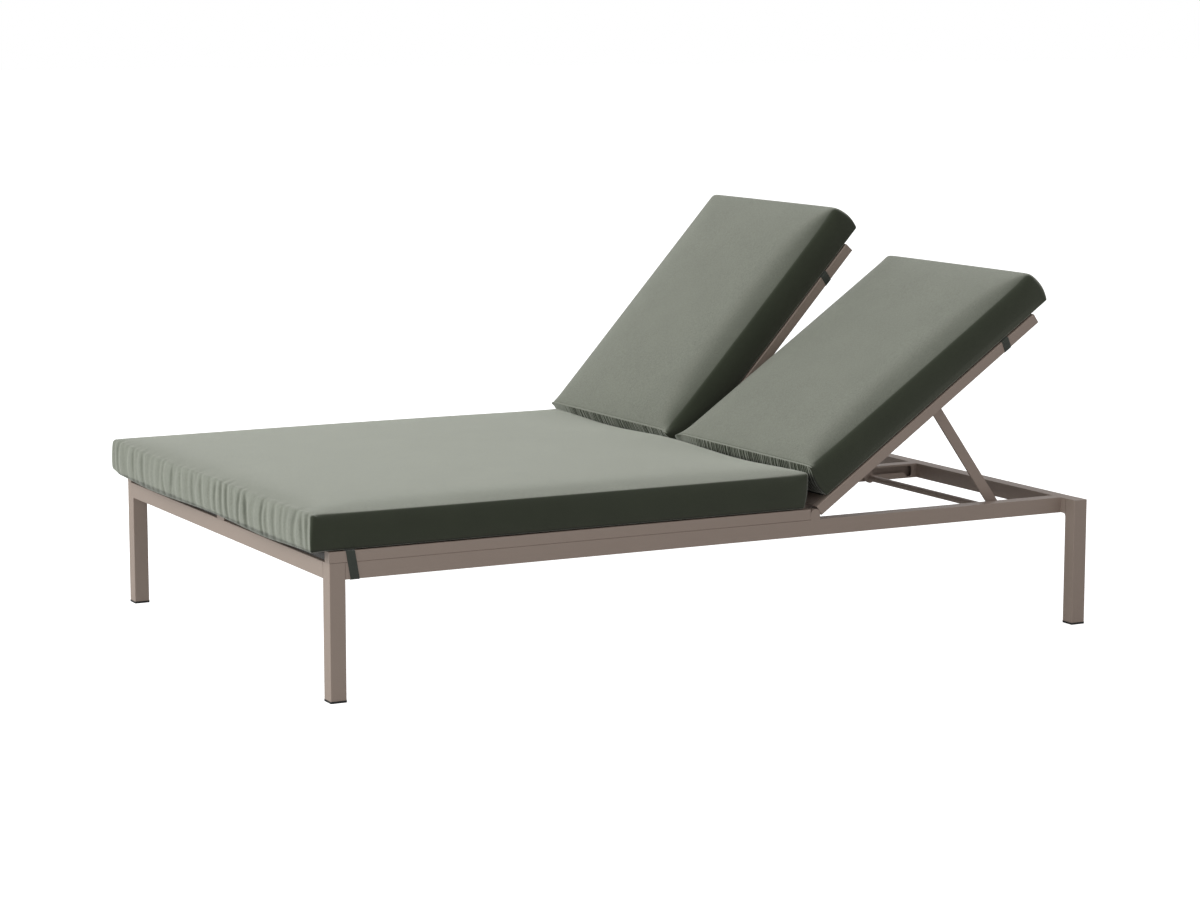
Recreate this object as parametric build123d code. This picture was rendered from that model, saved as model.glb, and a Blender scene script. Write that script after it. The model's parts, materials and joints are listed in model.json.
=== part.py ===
from build123d import *
import math
import os

# Overall frame: each head leg stands a step outside the seat
frame_length = 1952.0
seat_width = 1284.0
head_leg_step = 54.0
deck_height = 305.0

# Square tubes of the base
base_tube = 37.0
base_wall = 2.0
base_corner = 1.5
weld_radius = 5.0

# Square tubes of the seat and of the backrests
upper_tube = 25.0
upper_wall = 1.5
upper_corner = 2.0
centre_seat_width = 45.0
spreader_height = 15.0
seat_middle_bar_from_foot = 621.0

# Groove along a tube that holds the roped edge of a sling
groove_radius = 2.6
groove_wall = 1.2
groove_mouth = 2.0
rope_clearance = 0.25
sling_thickness = 1.2
sling_end_gap = 2.0

# Bars at the foot end, inside a sleeve of each seat sling
foot_bar_width = 20.0
foot_bar_height = 18.0
foot_bar_corner = 4.0
foot_bar_from_foot = 5.0
sleeve_clearance = 0.3
sleeve_end_gap = 0.5

# Black caps under the legs, plugs in the open tube ends
cap_thickness = 5.0
cap_overhang = 0.6
cap_edge_radius = 1.0
plug_depth = 22.0
plug_clearance = 0.2
plug_flange = 2.0

# Domed buffers on the head legs
buffer_diameter = 30.0
buffer_height = 5.5
buffer_from_floor = 28.0

# Screws that hold the seat tubes on the base, set in from below
screw_diameter = 6.0
screw_head_diameter = 12.0
screw_head_depth = 2.0
screw_grip = 6.0
screw_from_hinge = 60.0
screw_from_foot = 17.5

# Hinge of each backrest
hinge_from_head = 736.0
lug_thickness = 8.0
lug_skin = 2.0
lug_end_gap = 0.5
tongue_rail_gap = 0.5
tongue_thickness = 12.0
tongue_side_gap = 0.5
tongue_plug_length = 45.0
pin_diameter = 8.0
running_clearance = 0.06
back_tube_setback = 13.2

# Backrests, measured along them from the hinge
backrest_gap = 16.0
back_length = 747.0
lower_crossbar_from_hinge = 14.0
lower_crossbar_width = 37.0
left_back_angle = 34.8
right_back_angle = 47.9

# Props: two flat struts and a round cross bar each
prop_pivot_from_hinge = 419.0
prop_pivot_drop = 3.0
prop_length = 336.5
strut_width = 26.0
strut_end_offset = 3.0
strut_thickness = 6.0
outer_strut_gap = 17.0
inner_strut_gap = 2.0
pivot_boss_diameter = 12.0
pivot_head_height = 3.0
pivot_spigot_length = 6.0
bar_diameter = 16.0
bar_wall = 2.0
bar_end_gap = 1.0
left_prop_angle = 54.4
right_prop_angle = 88.0

# Rack slots in the rails, with a notch for each rest of the bar
slot_below_deck = 4.8
slot_height = 16.6
slot_corner = 5.0
slot_end_from_head = 53.4
slot_start_margin = 12.0
notch_clearance = 0.6
last_notch_bar_below_deck = 24.5

# Cushions
cushion_thickness = 84.0
cushion_edge_radius = 12.0
cushion_corner_radius = 10.0
seat_crown = 7.0
back_crown = 5.0
cushion_draw_in = 3.0
cushion_overhang = 42.0
cushion_hinge_gap = 23.5
seat_cushion_side_inset = 3.0
back_cushion_side_inset = 6.0
back_cushion_end = 800.0
left_back_cushion_start = 57.0
right_back_cushion_start = 62.0

# Elastic straps that hold the cushions
strap_width = 21.0
strap_thickness = 1.2
strap_gap = 0.2
cushion_gap = 0.3
seat_strap_top_from_foot = 38.0
seat_strap_bottom_from_foot = 48.5
back_strap_top = 636.0
back_strap_bottom = 630.0
strap_slit_clearance = 1.0

# Length by which a cutting shape passes the face that it cuts
overrun = 1.0

# Places along the lounger, with the origin midway between its two ends
foot_x = -(frame_length + buffer_height - cushion_overhang) / 2
head_x = foot_x + frame_length
hinge_x = head_x - hinge_from_head
hinge_z = deck_height + upper_tube / 2
half_width = seat_width / 2
head_width = seat_width + 2 * head_leg_step
slot_top = deck_height - slot_below_deck
slot_bottom = slot_top - slot_height
seat_top = deck_height + upper_tube
seat_tube_end = hinge_x - upper_tube / 2 - lug_end_gap
groove_inset = groove_radius + groove_wall
cushion_lift = strap_gap + strap_thickness + cushion_gap


def block(x_range, y_range, z_range):
    """Rectangular block between two values on each axis."""
    size = [high - low for low, high in (x_range, y_range, z_range)]
    middle = [(high + low) / 2 for low, high in (x_range, y_range, z_range)]
    return Pos(*middle) * Box(*size)


def cylinder_y(x, z, y_range, radius):
    """Round bar across the lounger."""
    length = y_range[1] - y_range[0]
    plane = Plane(origin=(x, y_range[0], z), x_dir=(1, 0, 0), z_dir=(0, 1, 0))
    return extrude(plane * Circle(radius), amount=length)


def hollow_section(width, height, wall, corner):
    """Rectangular tube section with rounded corners."""
    outside = RectangleRounded(width, height, corner)
    inside = RectangleRounded(width - 2 * wall, height - 2 * wall, corner / 2)
    return outside - inside


def grooved_section(width, sides):
    """Upper tube section with a sling groove near the top on each named side."""
    height = upper_tube
    section = RectangleRounded(width, height, upper_corner)
    hollow = Rectangle(width - 2 * upper_wall, height - 2 * upper_wall)
    for side in sides:
        centre = Pos(side * (width / 2 - groove_inset), height / 2 - groove_inset)
        hollow -= centre * Circle(groove_inset)
    section -= hollow
    for side in sides:
        centre = Pos(side * (width / 2 - groove_inset), height / 2 - groove_inset)
        section -= centre * Circle(groove_radius)
        mouth = Pos(side * (width - groove_inset) / 2, height / 2 - groove_inset)
        section -= mouth * Rectangle(groove_inset + overrun, groove_mouth)
    return section


def along_x(section, x_range, y, z):
    """Section of width Y and height Z, drawn out along the lounger."""
    plane = Plane(origin=(x_range[0], y, z), x_dir=(0, 1, 0), z_dir=(1, 0, 0))
    return extrude(plane * section, amount=x_range[1] - x_range[0])


def along_y(section, y_range, x, z):
    """Section of width X and height Z, drawn out across the lounger."""
    plane = Plane(origin=(x, y_range[1], z), x_dir=(1, 0, 0), z_dir=(0, -1, 0))
    return extrude(plane * section, amount=y_range[1] - y_range[0])


def along_z(section, z_range, x, y):
    """Section of width X and depth Y, drawn out upwards."""
    return extrude(Pos(x, y, z_range[0]) * section, amount=z_range[1] - z_range[0])


def on_side(shape, side):
    """The shape itself on the right, its mirror image on the left."""
    return shape if side > 0 else mirror(shape, Plane.XZ)


def on_backrest(shape, angle):
    """Moves a shape from the backrest's own frame to its place at the hinge."""
    return Pos(hinge_x, 0, hinge_z) * Rot(0, -angle, 0) * shape


def prop_pivot(angle):
    """Upper pivot of the prop of a backrest that stands at this angle."""
    lean = math.radians(angle)
    x = hinge_x + prop_pivot_from_hinge * math.cos(lean) + prop_pivot_drop * math.sin(lean)
    z = hinge_z + prop_pivot_from_hinge * math.sin(lean) - prop_pivot_drop * math.cos(lean)
    return x, z


def bar_centre(back_angle, prop_angle):
    """Centre of the cross bar, in its notch."""
    x, z = prop_pivot(back_angle)
    slope = math.radians(prop_angle)
    return x + prop_length * math.cos(slope), z - prop_length * math.sin(slope)


# Legs and their caps
def leg_places():
    """Leg centres as name, x and y on the right-hand side."""
    foot = ("foot", foot_x + base_tube / 2, half_width - base_tube / 2)
    head = ("head", head_x - base_tube / 2, head_width / 2 - base_tube / 2)
    return foot, head


def leg(x, y):
    """Leg tube with a welded top, open below for its cap."""
    outside = RectangleRounded(base_tube, base_tube, base_corner)
    bore = base_tube - 2 * base_wall
    inside = RectangleRounded(bore, bore, base_corner / 2)
    tube = along_z(outside, (cap_thickness, deck_height), x, y)
    return tube - along_z(inside, (0, deck_height - base_wall), x, y)


def leg_cap(x, y):
    """Plastic foot, a little wider than the leg, with a plug that fills the leg's end."""
    flange_side = base_tube + 2 * cap_overhang
    flange = RectangleRounded(flange_side, flange_side, base_corner + cap_overhang)
    plug_side = base_tube - 2 * base_wall - 2 * plug_clearance
    plug = RectangleRounded(plug_side, plug_side, base_corner / 2)
    foot = along_z(flange, (0, cap_thickness), x, y)
    foot = fillet(foot.faces().sort_by(Axis.Z)[0].edges(), cap_edge_radius)
    return foot + along_z(plug, (cap_thickness, cap_thickness + plug_depth), x, y)


def head_buffer():
    """Domed buffer on the head face of the right head leg."""
    radius = buffer_diameter / 2
    edge_one = Line((0, 0), (radius, 0))
    dome_radius = (radius ** 2 + buffer_height ** 2) / (2 * buffer_height)
    half_angle = math.asin(radius / dome_radius) / 2
    middle = (dome_radius * math.sin(half_angle),
              buffer_height - dome_radius * (1 - math.cos(half_angle)))
    arc = ThreePointArc((radius, 0), middle, (0, buffer_height))
    edge_two = Line((0, buffer_height), (0, 0))
    profile = make_face(edge_one + arc + edge_two)
    dome = revolve(profile, Axis.Y)
    y = head_width / 2 - base_tube / 2
    return Pos(head_x, y, buffer_from_floor) * Rot(0, 0, -90) * dome


# Rails of the base, with the racks for the props
def base_section():
    return hollow_section(base_tube, base_tube, base_wall, base_corner)


def rail_height():
    return deck_height - base_tube / 2


def notch(x, z):
    """Notch for the bar: upright towards the head, sloped towards the foot."""
    radius = bar_diameter / 2 + notch_clearance
    top = (slot_bottom + slot_top) / 2
    diagonal = math.radians(45)
    low = (x - radius * math.sin(diagonal), z - radius * math.cos(diagonal))
    bend = diagonal / 2
    middle = (x + radius * math.sin(bend), z - radius * math.cos(bend))
    slope_top = (low[0] - (top - low[1]), top)
    side_top = (x + radius, top)
    side_foot = (x + radius, z)
    edges = [Line(side_top, side_foot)]
    edges.append(ThreePointArc(side_foot, middle, low))
    edges.append(Line(low, slope_top))
    edges.append(Line(slope_top, side_top))
    return make_face(Wire(edges))


def rack_cut(y_range):
    """Slot with its notches, as a block that cuts a rail's wall."""
    slot_end = head_x - slot_end_from_head
    last_x = slot_end - bar_diameter / 2 - notch_clearance
    bars = [(last_x, deck_height - last_notch_bar_below_deck)]
    bars.append(bar_centre(left_back_angle, left_prop_angle))
    bars.append(bar_centre(right_back_angle, right_prop_angle))
    slot_start = min(x for x, z in bars) - bar_diameter / 2 - slot_start_margin
    middle = Pos((slot_start + slot_end) / 2, (slot_bottom + slot_top) / 2)
    slot = middle * Rectangle(slot_end - slot_start, slot_top - slot_bottom)
    slot = fillet(slot.vertices().group_by(Axis.Y)[-1], slot_corner)
    for x, z in bars:
        slot += notch(x, z)
    plane = Plane(origin=(0, y_range[1], 0), x_dir=(1, 0, 0), z_dir=(0, -1, 0))
    return extrude(plane * slot, amount=y_range[1] - y_range[0])


def screw_places():
    """Where the seat tubes are screwed down, along the lounger."""
    return foot_x + base_tube + screw_from_foot, hinge_x - screw_from_hinge


def screw_bores(y):
    """Countersunk bores through a rail, from its underside."""
    bores = []
    for x in screw_places():
        low = deck_height - base_tube
        bore = along_z(Circle(screw_diameter / 2 + running_clearance), (low, deck_height), x, y)
        head = Pos(x, y, low + screw_head_depth / 2) * Cone(
            screw_head_diameter / 2, screw_diameter / 2, screw_head_depth)
        bores.append(bore + head)
    return bores


def side_rail():
    """Right side rail, from the foot leg to the head rail."""
    y = half_width - base_tube / 2
    rail = along_x(base_section(), (foot_x + base_tube, head_x - base_tube), y, rail_height())
    inner_face = half_width - base_tube
    rail -= rack_cut((inner_face - overrun, inner_face + base_wall + overrun))
    for bore in screw_bores(y):
        rail -= bore
    return rail


def centre_rail():
    """Middle rail, racked on both sides, with a web that closes the slots behind."""
    section = base_section() + Rectangle(base_wall, base_tube - base_wall)
    rail = along_x(section, (foot_x + base_tube, head_x - base_tube), 0, rail_height())
    face, depth = base_tube / 2 + overrun, base_wall + 2 * overrun
    rail -= rack_cut((-face, depth - face))
    rail -= rack_cut((face - depth, face))
    for bore in screw_bores(0):
        rail -= bore
    return rail


def foot_end_rail():
    half = half_width - base_tube
    return along_y(base_section(), (-half, half), foot_x + base_tube / 2, rail_height())


def weld_corner(side):
    """Rounded weld in the corner under the head rail, beside a leg."""
    low = deck_height - base_tube
    inner = head_width / 2 - base_tube
    corner = block((head_x - base_tube, head_x), (inner - weld_radius, inner),
                   (low - weld_radius, low))
    round_off = along_x(Circle(weld_radius), (head_x - base_tube, head_x),
                        inner - weld_radius, low - weld_radius)
    return on_side(corner - round_off, side)


def head_end_rail():
    half = head_width / 2 - base_tube
    rail = along_y(base_section(), (-half, half), head_x - base_tube / 2, rail_height())
    return rail + weld_corner(-1) + weld_corner(1)


# Seat frame and its slings
def seat_tube():
    """Right seat tube, laid on the side rail and over the foot leg."""
    y = half_width - upper_tube / 2
    x_range = (foot_x + plug_flange, seat_tube_end)
    tube = along_x(grooved_section(upper_tube, (-1,)), x_range, y, hinge_z)
    return tube - screw_sockets(half_width - base_tube / 2)


def centre_seat_tube():
    """Wide middle tube with a groove on each side."""
    x_range = (foot_x + plug_flange, seat_tube_end)
    tube = along_x(grooved_section(centre_seat_width, (-1, 1)), x_range, 0, hinge_z)
    return tube - screw_sockets(0)


def screw_sockets(y):
    """Holes in a seat tube's lower wall for its screws."""
    holes = [along_z(Circle(screw_diameter / 2), (deck_height - overrun, deck_height + screw_grip),
                     x, y) for x in screw_places()]
    return holes[0] + holes[1]


def seat_frame_screws():
    """Countersunk screws up through the rails into the seat tubes."""
    screws = []
    side_y = half_width - base_tube / 2
    low = deck_height - base_tube
    for y in (-side_y, 0, side_y):
        for x in screw_places():
            shank = along_z(Circle(screw_diameter / 2), (low, deck_height + screw_grip), x, y)
            head = Pos(x, y, low + screw_head_depth / 2) * Cone(
                screw_head_diameter / 2, screw_diameter / 2, screw_head_depth)
            screws.append(shank + head)
    return Compound(children=screws)


def tube_plug(width):
    """Flanged plug for the end of an upper tube, facing -X at x = 0."""
    height = upper_tube
    flange = along_x(RectangleRounded(width, height, upper_corner), (0, plug_flange), 0, 0)
    depth = plug_flange + plug_depth
    low = -height / 2 + upper_wall + plug_clearance
    high = height / 2 - 2 * groove_inset - plug_clearance
    half = width / 2 - upper_wall - plug_clearance
    return flange + block((plug_flange, depth), (-half, half), (low, high))


def seat_tube_plugs():
    """Plugs in the foot ends of the three seat tubes."""
    side_y = half_width - upper_tube / 2
    plugs = []
    for y, width in ((-side_y, upper_tube), (0, centre_seat_width), (side_y, upper_tube)):
        plugs.append(Pos(foot_x, y, hinge_z) * tube_plug(width))
    return Compound(children=plugs)


def seat_bar_range():
    """Free span between the middle seat tube and the right one."""
    return centre_seat_width / 2, half_width - upper_tube


def seat_end_bar():
    """Cross bar at the hinge end of the seat."""
    section = hollow_section(upper_tube, upper_tube, upper_wall, upper_corner)
    return along_y(section, seat_bar_range(), seat_tube_end - upper_tube / 2, hinge_z)


def seat_middle_bar():
    """Low spreader under the seat sling."""
    section = hollow_section(upper_tube, spreader_height, upper_wall, upper_corner)
    z = deck_height + spreader_height / 2
    return along_y(section, seat_bar_range(), foot_x + seat_middle_bar_from_foot, z)


def foot_bar_centre():
    """Middle of the foot bars, just under the sheet of the slings."""
    x = foot_x + foot_bar_from_foot + foot_bar_width / 2
    sheet_low = seat_top - groove_inset - sling_thickness / 2
    return x, sheet_low - sleeve_clearance - foot_bar_height / 2


def seat_foot_bars():
    """Cross bars at the foot end, one in each half of the seat."""
    x, z = foot_bar_centre()
    section = hollow_section(foot_bar_width, foot_bar_height, upper_wall, foot_bar_corner)
    bar = along_y(section, seat_bar_range(), x, z)
    return Compound(children=[bar, on_side(bar, -1)])


def sleeve():
    """Closed sleeve of a seat sling round its foot bar."""
    x, z = foot_bar_centre()
    growth = sleeve_clearance + sling_thickness
    outside = RectangleRounded(foot_bar_width + 2 * growth, foot_bar_height + 2 * growth,
                               foot_bar_corner + growth)
    inside = RectangleRounded(foot_bar_width + 2 * sleeve_clearance,
                              foot_bar_height + 2 * sleeve_clearance,
                              foot_bar_corner + sleeve_clearance)
    low, high = seat_bar_range()
    return along_y(outside - inside, (low + sleeve_end_gap, high - sleeve_end_gap), x, z)


def sling(x_range, y_range, z):
    """Sheet between two tubes, with a rope along each edge in its groove."""
    low, high = y_range
    sheet = block(x_range, (low - groove_inset, high + groove_inset),
                  (z - sling_thickness / 2, z + sling_thickness / 2))
    rope = Circle(groove_radius - rope_clearance)
    for y in (low - groove_inset, high + groove_inset):
        sheet += along_x(rope, x_range, y, z)
    return sheet


def strap_slit(top_x, bottom_x, face, way, z):
    """Block that slits a sling beside the face of a tube, for the strap; way points into the sling."""
    low = min(top_x, bottom_x) - strap_slit_clearance
    high = max(top_x, bottom_x) + strap_width + strap_slit_clearance
    inner = face + way * (strap_gap + strap_thickness + strap_slit_clearance)
    return block((low, high), sorted((inner, face)), (z - sling_thickness, z + sling_thickness))


def seat_sling():
    """Sling of one half of the seat, slit beside the side tube for the strap."""
    x_range = (foot_bar_centre()[0], seat_tube_end - upper_tube - sling_end_gap)
    z = seat_top - groove_inset
    slit = strap_slit(foot_x + seat_strap_top_from_foot, foot_x + seat_strap_bottom_from_foot,
                      seat_bar_range()[1] - (base_tube - upper_tube), -1, z)
    return sling(x_range, seat_bar_range(), z) + sleeve() - slit


# Hinges
def lug(y_range, bore_range):
    """Round-topped lug on a rail, with a blind bore for its pin."""
    radius = upper_tube / 2
    base = block((hinge_x - radius, hinge_x + radius), y_range, (deck_height, hinge_z))
    head = cylinder_y(hinge_x, hinge_z, y_range, radius)
    return base + head - cylinder_y(hinge_x, hinge_z, bore_range, pin_diameter / 2)


def outer_lug():
    """Lug at the side, welded over the rounded edge of the rail."""
    radius = upper_tube / 2
    edge = half_width - base_corner, deck_height - base_corner
    weld = block((hinge_x - radius, hinge_x + radius), (edge[0], half_width), (edge[1], deck_height))
    weld -= along_x(Circle(base_corner), (hinge_x - radius, hinge_x + radius), *edge)
    bore_range = (half_width - lug_thickness, half_width - lug_skin)
    return lug((half_width - lug_thickness, half_width), bore_range) + weld


def inner_lug():
    low = backrest_gap / 2
    return lug((low, low + lug_thickness), (low + lug_skin, low + lug_thickness))


def outer_tongue_range():
    high = half_width - lug_thickness - tongue_side_gap
    return high - tongue_thickness, high


def inner_tongue_range():
    low = backrest_gap / 2 + lug_thickness + tongue_side_gap
    return low, low + tongue_thickness


def hinge_pins():
    """Four pins, each from inside a lug through its tongue."""
    pins = []
    for side in (-1, 1):
        outer = (outer_tongue_range()[0], half_width - lug_skin)
        inner = (backrest_gap / 2 + lug_skin, inner_tongue_range()[1])
        for y_range in (outer, inner):
            pins.append(on_side(cylinder_y(hinge_x, hinge_z, y_range, pin_diameter / 2), side))
    return Compound(children=pins)


def tongue(y_range, tube_y):
    """Tongue on the pin, with a plug inside the backrest tube, in the backrest's frame."""
    radius = upper_tube / 2 - tongue_rail_gap
    end = cylinder_y(0, 0, y_range, radius)
    low = -upper_tube / 2 + upper_wall + plug_clearance
    high = upper_tube / 2 - 2 * groove_inset - plug_clearance
    neck = block((0, back_tube_setback), y_range, (low, high))
    half = upper_tube / 2 - upper_wall - plug_clearance
    plug = block((back_tube_setback, back_tube_setback + tongue_plug_length),
                 (tube_y - half, tube_y + half), (low, high))
    bore = cylinder_y(0, 0, y_range, pin_diameter / 2 + running_clearance)
    return end + neck + plug - bore


# Backrest in its own frame: X along it from the hinge, Z square to it
def back_tube_places():
    """Middle of the inner and the outer tube across the lounger."""
    return backrest_gap / 2 + upper_tube / 2, half_width - upper_tube / 2


def back_tube(y, groove_side):
    """Side tube of a backrest, bored for the prop's pivot."""
    x_range = (back_tube_setback, back_length - plug_flange)
    tube = along_x(grooved_section(upper_tube, (groove_side,)), x_range, y, 0)
    face = y + groove_side * upper_tube / 2
    wall = sorted((face + groove_side * overrun, face - groove_side * (upper_wall + overrun)))
    return tube - cylinder_y(prop_pivot_from_hinge, -prop_pivot_drop, wall, pin_diameter / 2)


def back_bar_range():
    inner, outer = back_tube_places()
    return inner + upper_tube / 2, outer - upper_tube / 2


def back_crossbar(x, width):
    section = hollow_section(width, upper_tube, upper_wall, upper_corner)
    return along_y(section, back_bar_range(), x + width / 2, 0)


def back_sling():
    """Sling between the crossbars, slit beside both side tubes for the straps."""
    start = lower_crossbar_from_hinge + lower_crossbar_width + sling_end_gap
    end = back_length - plug_flange - upper_tube - sling_end_gap
    z = upper_tube / 2 - groove_inset
    sheet = sling((start, end), back_bar_range(), z)
    for face, way in zip(back_bar_range(), (1, -1)):
        sheet -= strap_slit(back_strap_top, back_strap_bottom, face, way, z)
    return sheet


def back_plugs():
    """Plugs in the upper ends of the backrest's side tubes."""
    plug = Pos(back_length, 0, 0) * Rot(0, 0, 180) * tube_plug(upper_tube)
    return Compound(children=[Pos(0, y, 0) * plug for y in back_tube_places()])


def prop_pivots():
    """Pivot studs from the side tubes through the struts."""
    inner, outer = back_tube_places()
    studs = []
    for y, way, gap in ((inner, 1, inner_strut_gap), (outer, -1, outer_strut_gap)):
        face = y + way * upper_tube / 2
        strut_near = face + way * gap
        strut_far = strut_near + way * (strut_thickness + running_clearance)
        head_end = strut_far + way * pivot_head_height
        spigot = sorted((face - way * pivot_spigot_length, strut_far))
        boss = sorted((face, strut_near - way * running_clearance))
        stud = cylinder_y(prop_pivot_from_hinge, -prop_pivot_drop, spigot, pin_diameter / 2)
        stud += cylinder_y(prop_pivot_from_hinge, -prop_pivot_drop, boss, pivot_boss_diameter / 2)
        stud += cylinder_y(prop_pivot_from_hinge, -prop_pivot_drop, sorted((strut_far, head_end)),
                           pivot_boss_diameter / 2)
        studs.append(stud)
    return Compound(children=studs)


# Prop in its own frame: X from its upper pivot to the bar
def strut_ranges():
    """Where the inner and the outer strut stand across the lounger."""
    inner, outer = back_bar_range()
    inner_low = inner + inner_strut_gap
    outer_high = outer - outer_strut_gap
    return (inner_low, inner_low + strut_thickness), (outer_high - strut_thickness, outer_high)


def strut(y_range):
    """Flat strut with full round ends, bored for its pivot and for the bar."""
    half = strut_width / 2
    body = block((strut_end_offset, prop_length), y_range, (-half, half))
    body += cylinder_y(strut_end_offset, 0, y_range, half)
    body += cylinder_y(prop_length, 0, y_range, half)
    body -= cylinder_y(0, 0, y_range, pin_diameter / 2 + running_clearance)
    return body - cylinder_y(prop_length, 0, y_range, bar_diameter / 2)


def prop_bar():
    """Tube across the struts, ending just short of the rails."""
    low = base_tube / 2 + bar_end_gap
    high = half_width - base_tube - bar_end_gap
    outside = cylinder_y(prop_length, 0, (low, high), bar_diameter / 2)
    return outside - cylinder_y(prop_length, 0, (low, high), bar_diameter / 2 - bar_wall)


# Cushions
def cushion_section(x, y, z, half, height, crown):
    """Cross-section: flat below, sides drawn in at the seams, rounded and crowned above."""
    drawn = half - cushion_draw_in
    shoulder = height - cushion_edge_radius
    inner = drawn - cushion_edge_radius
    turn = cushion_edge_radius * (1 - math.sqrt(0.5))
    bottom_left, bottom_right = (-drawn, 0), (drawn, 0)
    edges = [Line(bottom_left, bottom_right)]
    edges.append(ThreePointArc(bottom_right, (half, shoulder / 2), (drawn, shoulder)))
    edges.append(ThreePointArc((drawn, shoulder), (drawn - turn, height - turn), (inner, height)))
    edges.append(ThreePointArc((inner, height), (0, height + crown), (-inner, height)))
    edges.append(ThreePointArc((-inner, height), (turn - drawn, height - turn), (-drawn, shoulder)))
    edges.append(ThreePointArc((-drawn, shoulder), (-half, shoulder / 2), bottom_left))
    plane = Plane(origin=(x, y, z), x_dir=(0, 1, 0), z_dir=(1, 0, 0))
    return plane * make_face(Wire(edges))


def cushion(x_range, y_range, z, crown):
    """Box cushion with rounded upper edges, lofted from one end to the other."""
    low, high = x_range
    half = (y_range[1] - y_range[0]) / 2
    middle = (y_range[1] + y_range[0]) / 2
    stations = []
    for turn_share in (0, 1 / 3, 2 / 3, 1):
        turn = math.radians(90) * turn_share
        stations.append((cushion_edge_radius * (1 - math.cos(turn)), 1 - math.sin(turn)))
    places = [(low + offset, drop) for offset, drop in stations]
    for place_share in (1 / 4, 1 / 2, 3 / 4):
        places.append((low + (high - low) * place_share, 0))
    places += [(high - offset, drop) for offset, drop in reversed(stations)]
    sections = []
    for x, drop in places:
        along_share = (x - low) / (high - low)
        rise = crown * 4 * along_share * (1 - along_share)
        height = cushion_thickness - cushion_edge_radius * drop + rise / 2
        width = half - cushion_corner_radius * drop
        sections.append(cushion_section(x, middle, z, width, height, rise / 2 + cushion_draw_in))
    return loft(sections, ruled=True)


def seat_cushion():
    x_range = (foot_x - cushion_overhang, hinge_x - cushion_hinge_gap)
    half = half_width - seat_cushion_side_inset
    return cushion(x_range, (-half, half), seat_top + cushion_lift, seat_crown)


def back_cushion(start):
    low = backrest_gap / 2 + back_cushion_side_inset
    high = half_width - back_cushion_side_inset
    return cushion((start, back_cushion_end), (low, high), upper_tube / 2 + cushion_lift, back_crown)


# Straps
def strap(top_x, bottom_x, y_range, z_range):
    """Closed band round a tube, with its sides slanted along the tube."""
    y_low, y_high = y_range[0] - strap_gap, y_range[1] + strap_gap
    z_low, z_high = z_range[0] - strap_gap, z_range[1] + strap_gap
    band_low, band_high = z_low - strap_thickness, z_high + strap_thickness
    outer = (y_low - strap_thickness, y_high + strap_thickness)
    band = block((top_x, top_x + strap_width), outer, (z_high, band_high))
    band += block((bottom_x, bottom_x + strap_width), outer, (band_low, z_low))
    corners = [(bottom_x, band_low), (bottom_x + strap_width, band_low),
               (top_x + strap_width, band_high), (top_x, band_high)]
    for y in (outer[0], y_high):
        plane = Plane(origin=(0, y, 0), x_dir=(1, 0, 0), z_dir=(0, -1, 0))
        side_face = plane * Polygon(*corners, align=None)
        band += extrude(side_face, amount=-strap_thickness)
    return band


def seat_strap():
    """Band round the right seat tube and side rail, near the foot."""
    return strap(foot_x + seat_strap_top_from_foot, foot_x + seat_strap_bottom_from_foot,
                 (half_width - base_tube, half_width), (deck_height - base_tube, seat_top))


def back_straps():
    """Bands round the side tubes of a backrest, in the backrest's frame."""
    half = upper_tube / 2
    return Compound(children=[strap(back_strap_top, back_strap_bottom, (y - half, y + half), (-half, half))
                              for y in back_tube_places()])


# All pieces by name
def base_pieces():
    """Pieces that stand on the ground."""
    pieces = {
        "centre_rail": centre_rail(),
        "foot_end_rail": foot_end_rail(),
        "head_end_rail": head_end_rail(),
        "centre_seat_tube": centre_seat_tube(),
        "seat_foot_bars": seat_foot_bars(),
        "seat_tube_end_plugs": seat_tube_plugs(),
        "hinge_pins": hinge_pins(),
        "seat_frame_screws": seat_frame_screws(),
        "seat_cushion": seat_cushion(),
    }
    caps = [on_side(leg_cap(x, y), side) for end, x, y in leg_places() for side in (-1, 1)]
    pieces["leg_caps"] = Compound(children=caps)
    for name, side in (("left", -1), ("right", 1)):
        for end, x, y in leg_places():
            pieces[f"{name}_{end}_leg"] = on_side(leg(x, y), side)
        pieces[f"{name}_side_rail"] = on_side(side_rail(), side)
        pieces[f"{name}_seat_tube"] = on_side(seat_tube(), side)
        pieces[f"{name}_seat_end_bar"] = on_side(seat_end_bar(), side)
        pieces[f"{name}_seat_middle_bar"] = on_side(seat_middle_bar(), side)
        pieces[f"{name}_seat_sling"] = on_side(seat_sling(), side)
        pieces[f"{name}_seat_strap"] = on_side(seat_strap(), side)
        pieces[f"{name}_outer_hinge_lug"] = on_side(outer_lug(), side)
        pieces[f"{name}_inner_hinge_lug"] = on_side(inner_lug(), side)
        pieces[f"{name}_head_buffer"] = on_side(head_buffer(), side)
    return pieces


def backrest_pieces(name, side, angle, cushion_start):
    """Pieces that turn with one backrest."""
    inner, outer = back_tube_places()
    shapes = {
        "inner_tube": back_tube(inner, 1),
        "outer_tube": back_tube(outer, -1),
        "lower_crossbar": back_crossbar(lower_crossbar_from_hinge, lower_crossbar_width),
        "upper_crossbar": back_crossbar(back_length - plug_flange - upper_tube, upper_tube),
        "sling": back_sling(),
        "inner_hinge_tongue": tongue(inner_tongue_range(), inner),
        "outer_hinge_tongue": tongue(outer_tongue_range(), outer),
        "prop_pivots": prop_pivots(),
        "end_plugs": back_plugs(),
        "cushion": back_cushion(cushion_start),
        "straps": back_straps(),
    }
    return {f"{name}_back_{part}": on_backrest(on_side(shape, side), angle)
            for part, shape in shapes.items()}


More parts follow.
